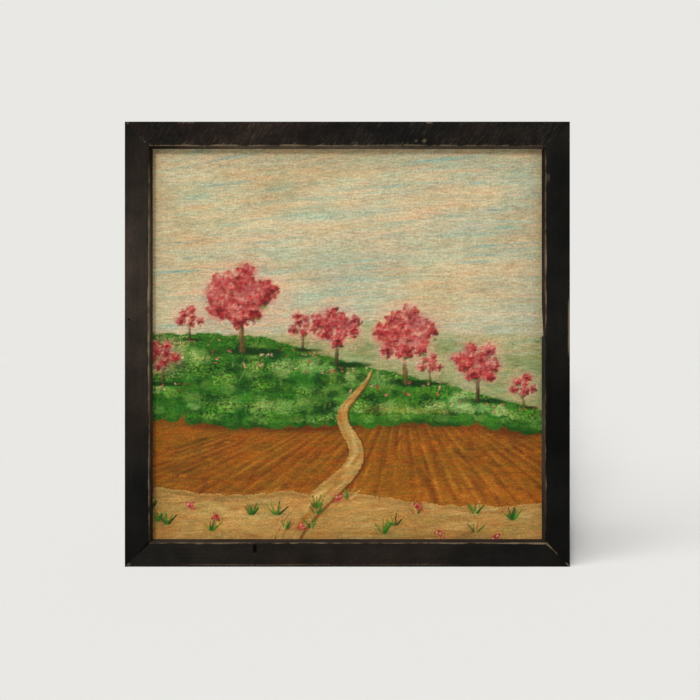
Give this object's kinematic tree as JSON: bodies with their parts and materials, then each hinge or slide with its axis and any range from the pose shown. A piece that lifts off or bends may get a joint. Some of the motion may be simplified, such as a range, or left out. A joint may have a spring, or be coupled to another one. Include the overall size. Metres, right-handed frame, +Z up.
{
  "type": "framed art print",
  "caption": "Square distressed black wooden frame holding a canvas-textured landscape print behind its lip, with a sawtooth hanger and felt bumpers on the back.",
  "frame": {"origin": "middle of the bounding box at the base, on the surface that the frame stands on", "axes": "+Z up the frame, +X to the right seen from the front, the picture faces -Y"},
  "size_m": [0.3556, 0.0406, 0.3556],
  "materials": {
    "black_wood": "black paint over pine, low sheen, worn to brown wood along the edges",
    "art_print": "matt canvas-textured print",
    "grey_board": "uncoated grey board",
    "hardboard": "brown hardboard with its screen texture outwards",
    "steel": "bare mill steel",
    "plated_steel": "yellow zinc plate",
    "felt": "pressed dark felt"
  },
  "bodies": {
    "root": {"rail_bottom": "black_wood", "rail_left": "black_wood", "rail_top": "black_wood", "rail_right": "black_wood", "print_sheet": "art_print", "mount_board": "grey_board", "backing_board": "hardboard", "framing_point_bottom_1": "steel", "framing_point_bottom_2": "steel", "framing_point_bottom_3": "steel", "framing_point_left_1": "steel", "framing_point_left_2": "steel", "framing_point_left_3": "steel", "framing_point_top_1": "steel", "framing_point_top_2": "steel", "framing_point_top_3": "steel", "framing_point_right_1": "steel", "framing_point_right_2": "steel", "framing_point_right_3": "steel", "v_nail_bottom_left_1": "steel", "v_nail_bottom_left_2": "steel", "v_nail_top_left_1": "steel", "v_nail_top_left_2": "steel", "v_nail_top_right_1": "steel", "v_nail_top_right_2": "steel", "v_nail_bottom_right_1": "steel", "v_nail_bottom_right_2": "steel", "sawtooth_hanger": "plated_steel", "hanger_nail_left": "plated_steel", "hanger_nail_right": "plated_steel", "bumper_left": "felt", "bumper_right": "felt"}
  },
  "joints": []
}
